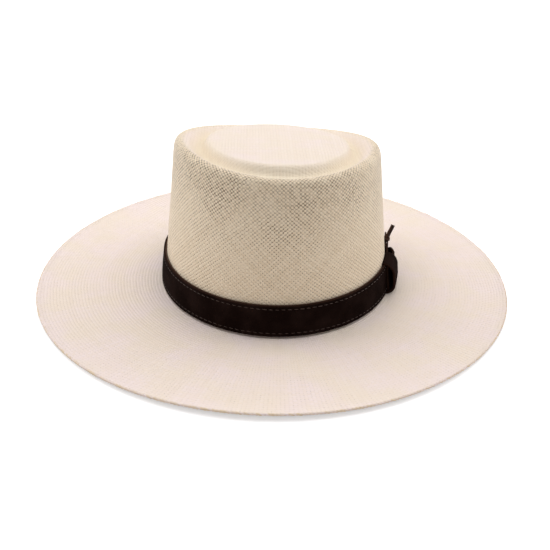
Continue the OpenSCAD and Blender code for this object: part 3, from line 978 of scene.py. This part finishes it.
def strapOutline():
    # puffed face between the two rows of stitching, rounded cut edges
    low, high, thick = bandLow.z, bandHigh.z, band["face"]
    row, r = band["rowInset"], 0.45 * mm
    height = high - low
    out = []
    for t in np.linspace(0, 1, 25):
        z = low + r + (height - 2 * r) * t
        fromEdge = min(z - low, high - z)
        groove = -band["rowSink"] * math.exp(-((fromEdge - row) / band["rowWide"]) ** 2)
        puff = band["puff"] * (1 - math.exp(-max(fromEdge - row, 0) / band["puffWide"]))
        out.append((groove + puff - 0.1 * mm, z))
    corners = [(-r + r * math.sin(a), high - r + r * math.cos(a)) for a in np.radians([60, 30, 0])]
    bottom = [(-r + r * math.sin(a), low + r - r * math.cos(a)) for a in np.radians([0, 30, 60])]
    outline = out + corners + [(-thick, high), (-thick, low)] + bottom
    edge = [1.0 if (z < low + 0.3 * mm or z > high - 0.3 * mm) else
            0.35 if (z < low + 0.9 * mm or z > high - 0.9 * mm) else 0.0 for _, z in outline]
    return outline, edge


def makeHatband():
    outline, edge = strapOutline()
    strap = ringOf("strapFace", outline, suede, 320, edge, uneven=0.3 * mm)
    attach(strap, "hatband")
    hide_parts("strap_face")
    inner, outer = -band["face"] - band["lining"], -band["face"] - 0.05 * mm
    low, high, r = bandLow.z, bandHigh.z, 0.25 * mm
    outline = [(outer, low), (outer, high), (inner + r, high), (inner, high - r), (inner, low + r),
               (inner + r, low)]
    liningStart = keeperAt + band["liningAfter"]      # the lining leaves room for keeper and lace
    liningEnd = keeperAt - band["liningBefore"] + 2 * math.pi
    lining = ringOf("strapLining", outline, liningLeather, 280, [1, 1, 1, 0.2, 0.2, 1],
                    liningStart, liningEnd)
    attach(lining, "hatband")
    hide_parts("strap_lining")


makeHatband()


stitch = {"pitch": 4.4 * mm, "length": 3.5 * mm, "width": 0.55 * mm, "thick": 0.55 * mm,
          "slant": 4, "uneven": 0.15, "sunk": 0.16 * mm}


def makeBandStitches():
    rows = {"upperStitches": (bandHigh.z - band["rowInset"], "upper_stitching", 21),
            "lowerStitches": (bandLow.z + band["rowInset"], "lower_stitching", 22)}
    for name, (height, node, seed) in rows.items():
        route = fullTurn(faceOut - stitch["sunk"], height)
        row = strandsAlong(name, route, stitch, seed, darkThread)
        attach(row, "hatband")
        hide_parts(node)


makeBandStitches()
print("hatband made")


keeper = {"width": 22 * mm, "room": 5 * mm, "front": 1.9 * mm,
          "skive": 1.0 * mm, "back": 0.7 * mm, "gap": 0.3 * mm,
          "radius": 8.5 * mm, "flare": 0.4 * mm, "close": 0.1 * mm}
tongue = {"root": 9 * mm, "reach": 30 * mm, "height": 20.5 * mm,
          "rootHeight": 21.6 * mm, "neck": 20 * mm,
          "thick": 1.8 * mm, "gap": 0.2 * mm, "splay": math.radians(4),
          "bow": 1.3 * mm, "tip": 7 * mm, "tied": 13 * mm,
          "crown": 0.35 * mm}
lace = {"at": 34 * mm, "width": 2.8 * mm, "thick": 1.2 * mm,
        "spread": 0.35, "knotOut": 0.5 * mm, "knotRise": 1.9 * mm}


def roundedLoop(x0, z0, x1, z1, radius, steps):
    # back edge up, then forward over the top and down the front; outer corners are rounded
    points = [(x0, z0 + (z1 - z0) * t) for t in np.linspace(0, 1, 9)[:-1]]
    points += [(x0 + (x1 - radius - x0) * t, z1) for t in np.linspace(0, 1, 4)[:-1]]
    points += [(x1 - radius + radius * math.sin(a), z1 - radius + radius * math.cos(a))
               for a in np.linspace(0, math.pi / 2, steps)]
    points += [(x1, z1 - radius + (z0 + 2 * radius - z1) * t) for t in np.linspace(0, 1, 6)[1:-1]]
    points += [(x1 - radius + radius * math.cos(a), z0 + radius - radius * math.sin(a))
               for a in np.linspace(0, math.pi / 2, steps)]
    points += [(x1 - radius + (x0 - x1 + radius) * t, z0) for t in np.linspace(0, 1, 4)[1:-1]]
    return np.array(points)


def makeKeeper():
    back = -band["face"] - keeper["gap"]
    foot, head = bandLow.z - keeper["gap"], bandHigh.z + keeper["gap"]
    inner = roundedLoop(back, foot, keeper["room"], head, keeper["radius"] - keeper["skive"], 9)
    outer = roundedLoop(back - keeper["back"], foot - keeper["skive"],
                        keeper["room"] + keeper["front"], head + keeper["skive"],
                        keeper["radius"], 9)
    half, r = keeper["width"] / 2, 0.35 * mm
    across = [(-half + r, 0.0), (half - r, 0.0), (half - 0.3 * r, 0.12), (half, 0.35), (half, 0.65),
              (half - 0.3 * r, 0.88), (half - r, 1.0)]
    across += [(s, 1.0) for s in np.linspace(half - 3 * r, -half + 3 * r, 9)]
    across += [(-half + r, 1.0), (-half + 0.3 * r, 0.88), (-half, 0.65), (-half, 0.35),
               (-half + 0.3 * r, 0.12)]
    rings = []
    for s, depth in across:
        ring = []
        for p, q in zip(inner, outer):
            out, z = p + (q - p) * depth
            reach = clamp(out / keeper["room"])
            bulge = (keeper["flare"] * ((s / half) ** 2 - 0.5)
                     - keeper["close"] * (s + half) / (2 * half))
            ring.append(bandPoint(s, out + bulge * reach, z))
        rings.append(ring)
    piece = loft("keeperLoop", rings, suede, True)
    numbers = np.repeat([clamp(1.2 - abs(abs(s) - half) / (0.7 * mm)) for s, _ in across],
                        len(inner))
    piece.data.attributes["edge"].data.foreach_set("value", numbers)
    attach(piece, "keeper")
    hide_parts("keeper_loop")


def tonguePoint(s, out, z):
    # the overlapping end leaves the strap's curve by its splay, and bows out towards the lace
    root = -tongue["root"]
    t = clamp((s + 2 * mm) / (tongue["reach"] + 3 * mm))
    out += tongue["bow"] * math.sin(math.pi * t ** 1.25) ** 1.4
    start = bandPoint(root, 0, z)
    p = bandPoint(s, out, z) - start
    turn = -tongue["splay"] * (1 - ease(s, tongue["tied"], tongue["reach"]))   # tied in at its tip
    return start + np.array([p[0] * math.cos(turn) - p[1] * math.sin(turn),
                             p[0] * math.sin(turn) + p[1] * math.cos(turn), p[2]])


def makeTongue():
    mid, tip = (bandLow.z + bandHigh.z) / 2, tongue["height"] / 2
    straight = tongue["reach"] - tongue["tip"]
    stops = np.concatenate([np.linspace(-tongue["root"], straight, 16),
                            straight + tongue["tip"] * np.sin(np.linspace(0.12, 1.5, 12))])
    rings = []
    for s in stops:
        past = max(s - straight, 0) / tongue["tip"]
        half = max(tip * max(1 - past ** 2.4, 0) ** (1 / 2.4), 0.5 * mm)
        rootward = clamp((tongue["neck"] - s) / (tongue["neck"] + tongue["root"]))
        half += (tongue["rootHeight"] / 2 - tip) * math.sin(rootward * math.pi / 2)
        thick = tongue["thick"] * (1 if past < 0.9 else 0.85)
        section = roundedSection(2 * half, thick, min(0.5 * mm, half * 0.6), 4)
        rings.append([tonguePoint(s, tongue["gap"] + thick / 2 + y
                                  + tongue["crown"] * (1 - (x / half) ** 2) * (y > 0), mid + x)
                      for x, y in section])
    edge = [1.0 if abs(x) > tip - 0.45 * mm else 0.0
            for x, y in roundedSection(2 * tip, tongue["thick"], 0.5 * mm, 4)]
    piece = loft("overlapEnd", rings, suede, False, edge)
    finishEdges(piece)
    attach(piece, "hatband")
    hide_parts("overlap_end")


def makeLace():
    s, t, w = lace["at"], lace["thick"], lace["width"]
    low, high = bandLow.z, bandHigh.z
    strip = roundedSection(w, t, 0.4 * mm, 3)
    back, front = -band["face"] - 0.55 * mm, 0.45 * mm + t / 2
    loopPoints = [(front, low + 2 * mm), (front, low + 8 * mm), (front, low + 16 * mm),
                  (front + 0.2 * mm, high - 3 * mm), (front + 0.3 * mm, high),
                  (1.0 * mm, high + 0.9 * mm), (-0.4 * mm, high + 0.7 * mm),
                  (back, high - 0.2 * mm), (back, high - 6 * mm), (back, low + 6 * mm),
                  (back, low + 0.3 * mm),
                  (-0.4 * mm, low - 0.55 * mm), (1.0 * mm, low - 0.4 * mm),
                  (front - 0.1 * mm, low + 0.6 * mm)]
    route = smoothRoute([bandPoint(s, out, z) for out, z in loopPoints], 5, True)
    middle = bandPoint(s, (front + back) / 2, (low + high) / 2)
    outward = route - middle
    outward[:, 2] *= lace["spread"]
    wrap = sweep("laceWrap", route, strip * [1, 0.8], outward, laceLeather, True, True)
    knot = bandPoint(s, lace["knotOut"], high + lace["knotRise"])
    away, up = bandOutward(s), np.array([0, 0, 1.0])
    along = np.cross(up, away)

    def at(o, a, u):
        return knot + mm * (o * away + a * along + u * up)

    collar = [at(1.6 * math.cos(a), 1.9 * math.sin(a), 0.5 * math.sin(a) - 0.2)
              for a in np.linspace(0, 2 * math.pi, 28, endpoint=False)]
    collarPiece = sweep("laceCollar", collar, strip * [1.1, 0.9],
                        np.array(collar) - knot, laceLeather, True, True)
    over = smoothRoute([at(1.5, -1.5, -1.2), at(2.0, -0.8, 0.6), at(1.3, 0.6, 1.8),
                        at(-0.4, 1.6, 1.1), at(-1.2, 1.1, -0.8)], 7)
    crossing = sweep("laceCrossing", over, strip * 0.9, over - knot, laceLeather, False, True)
    frontTail = smoothRoute([at(0.2, -0.2, -1.5), at(0.9, 0.1, 1.5), at(2.2, 0.7, 4.6),
                             at(3.8, 1.4, 7.6), at(5.2, 2.2, 10.4)], 7)
    rearTail = smoothRoute([at(-0.2, 0.6, -1.0), at(-0.2, 2.0, 0.9), at(0.1, 4.4, 1.6),
                            at(0.8, 7.0, 1.2)], 7)
    tails = [sweep("laceFrontTail", frontTail, strip * [1.15, 1.5], away * 0.6 - along,
                   laceLeather, False, True),
             sweep("laceRearTail", rearTail, strip, away, laceLeather, False, True)]
    piece = mergePieces("tieLace", [wrap, collarPiece, crossing] + tails)
    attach(piece, "hatband")
    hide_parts("tie_lace")


makeKeeper()
makeTongue()
makeLace()
print("keeper, overlapping end and lace made")


sweat = {"thick": 1.0 * mm, "ripple": 0.25 * mm, "backGap": 0.2 * mm, "tapeThick": 0.3 * mm}
zigzag = {"rise": 3.2 * mm, "pitch": 3.4 * mm, "length": 3.0 * mm, "width": 0.42 * mm,
          "thick": 0.42 * mm, "slant": 38, "uneven": 0.08}
sweatIn = sweatHigh.x + band["slope"] * sweatLow.z - sweat["thick"] - faceOut   # from the strap


def backAngle(x):
    # angle round the oval for a place x to the right of the back seam
    return math.pi / 2 - math.asin(x / (faceOut + sweatIn))


def makeSweatband():
    low, high = sweatLow.z, sweatHigh.z
    inner, outer, r = sweatIn, sweatIn + sweat["thick"], 0.35 * mm
    outline = [(inner, z) for z in np.linspace(low + r, high - r, 16)]
    outline += [(inner + 0.3 * r, high - 0.3 * r), (inner + r, high), (outer - r, high),
                (outer, high - r), (outer, low + r), (outer - r, low), (inner + r, low),
                (inner + 0.3 * r, low + 0.3 * r)]
    outline = outline[::-1]
    edge = [1.0 if z > high - 0.4 * mm else 0.0 for _, z in outline]
    gap = sweat["backGap"] / (faceOut * stretch)
    start, end = math.pi / 2 + gap, math.pi / 2 - gap + 2 * math.pi
    leather = ringOf("sweatbandLeather", outline, sweatLeather, 300, edge, start, end,
                     sweat["ripple"])
    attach(leather, "hat")
    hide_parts("sweatband")
    middle = (reedHigh.x + (reedHigh.y - crownY) / stretch) / 2
    reedZ = (reedLow.z + reedHigh.z) / 2
    tapeR = (reedHigh.z - reedLow.z) / 2 + sweat["tapeThick"]
    centre = middle - (reedHigh.z - reedLow.z) / 2 - faceOut + band["slope"] * reedZ
    outline = [(centre + tapeR * math.cos(a), reedZ + tapeR * math.sin(a))
               for a in np.linspace(0, 2 * math.pi, 20, endpoint=False)]
    tape = ringOf("reedTape", outline, tapeCloth, 300, None, start, end)
    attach(tape, "hat")
    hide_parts("reed_tape", "sweatband_reed")
    rows = []
    for turn, seed, phase in ((1, 31, 0), (-1, 32, 0.5)):
        shift = phase * 2 * math.pi * zigzag["pitch"] / (5.7 * faceOut)
        path = fullTurn(faceOut + inner - 0.1 * mm, low + zigzag["rise"], shift)
        rows.append(strandsAlong("zigzag", path, zigzag, seed, lightThread, turn))
    stitches = mergePieces("sweatbandStitches", rows)
    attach(stitches, "hat")
    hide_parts("sweatband_stitching")


backTab = {"depth": 0.5 * mm, "thick": 0.8 * mm, "corner": 3 * mm}
sizeLabel = {"depth": 0.45 * mm, "thick": 0.35 * mm, "corner": 1.2 * mm}
bowLook = {"deep": 2.3 * mm, "follows": 65 * mm, "ribbon": 0.35 * mm, "knotWide": 3.4 * mm,
           "knotThick": 0.4 * mm, "knotOut": 1.24 * mm}


def patchOn(name, low, high, look, material):
    # a thin patch lying on the sweatband's inner face, rounded at its corners
    mid, half = (low.z + high.z) / 2, (high.z - low.z) / 2
    depth, thick, radius = look["depth"], look["thick"], look["corner"]
    rings = []
    for x in np.linspace(low.x, high.x, 22):
        fromEnd = min(x - low.x, high.x - x)
        trim = radius - math.sqrt(max(radius ** 2 - max(radius - fromEnd, 0) ** 2, 0))
        section = roundedSection(2 * (half - trim), thick, 0.3 * thick, 3)
        angle = backAngle(x)
        rings.append([ovalPoint(faceOut + sweatIn - depth - thick / 2 - y, angle, mid + z)
                      for z, y in section])
    shape = roundedSection(2 * half, thick, 0.3 * thick, 3)
    edge = [1.0 if abs(z) > half - 0.45 * mm else 0.0 for z, _ in shape]
    piece = loft(name, rings, material, False, edge)
    finishEdges(piece)
    return piece


def makeBow():
    z = (bowLow.z + bowHigh.z) / 2
    base = bowHigh.y - 0.3 * mm
    wide, deep = (bowHigh.x - bowLow.x) / 2, bowLook["deep"]
    tall = bowHigh.z - bowLow.z
    parts = []
    strip = roundedSection(tall, bowLook["ribbon"], 0.15 * mm, 2)
    for side in (-1, 1):
        points = [(0.4 * mm, -0.3), (0.35 * wide, -0.15), (0.75 * wide, -0.25),
                  (0.96 * wide, -0.75), (0.98 * wide, -1.4), (0.8 * wide, -1.95),
                  (0.4 * wide, -1.8), (0.4 * mm, -1.1)]
        sag = [x * x / (2 * bowLook["follows"]) for x, _ in points]         # the oval's back bend
        route = smoothRoute([(side * x, base + y * mm - s, z) for (x, y), s in zip(points, sag)], 6)
        pinch = np.array([0.55 + 0.45 * min(1, abs(p[0]) / (0.45 * wide)) for p in route])
        centre = np.array([side * wide * 0.5, base - deep / 2, z])
        parts.append(sweep("bowLoop", route, strip, route - centre, ribbon, taper=pinch))
    ring = [(0.0, base - deep / 2 + bowLook["knotOut"] * math.cos(a) - 0.1 * mm,
             z + 0.36 * tall * math.sin(a))
            for a in np.linspace(0, 2 * math.pi, 24, endpoint=False)]
    centre = np.array([0.0, base - deep / 2, z])
    strip = roundedSection(bowLook["knotWide"], bowLook["knotThick"], 0.15 * mm, 2)
    parts.append(sweep("bowKnot", ring, strip, np.array(ring) - centre, ribbon, True))
    bow = mergePieces("sweatbandBow", parts)
    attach(bow, "hat")
    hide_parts("sweatband_bow")


def makeInsideTrim():
    tab = patchOn("backTab", tabLow, tabHigh, backTab, sweatLeather)
    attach(tab, "hat")
    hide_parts("sweatband_back_tab")
    label = patchOn("sizeLabel", labelLow, labelHigh, sizeLabel, labelCloth)
    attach(label, "hat")
    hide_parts("size_label")
    makeBow()


makeSweatband()
makeInsideTrim()
print("sweatband and its trim made")
